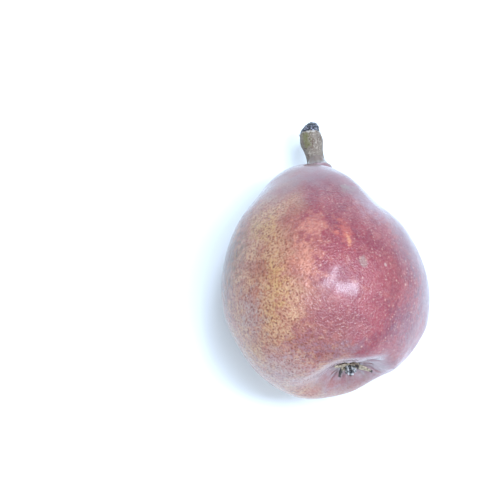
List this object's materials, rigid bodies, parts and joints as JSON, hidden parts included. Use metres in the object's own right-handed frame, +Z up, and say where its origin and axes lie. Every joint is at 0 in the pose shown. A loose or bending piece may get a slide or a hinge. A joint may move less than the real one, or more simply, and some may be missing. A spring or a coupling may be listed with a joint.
{
  "type": "pear",
  "caption": "Whole squat red pear lying on its side, with its short thick stem and the dried calyx and stamens in the basin at its base.",
  "frame": {"origin": "centre of the small flat spot on the side of the fruit that the pear rests on", "axes": "+Z up from the surface, +Y towards the stem end along the length of the pear, +X to the right seen from above with the stem pointing away"},
  "size_m": [0.0761, 0.1094, 0.0735],
  "materials": {
    "skin": "satin",
    "stem_wood": "matte",
    "dried_calyx": "matte",
    "dried_stamens": "matte"
  },
  "bodies": {
    "root": {"fruit": "skin", "stem": "stem_wood", "calyx": "dried_calyx", "stamens": "dried_stamens"}
  },
  "joints": []
}
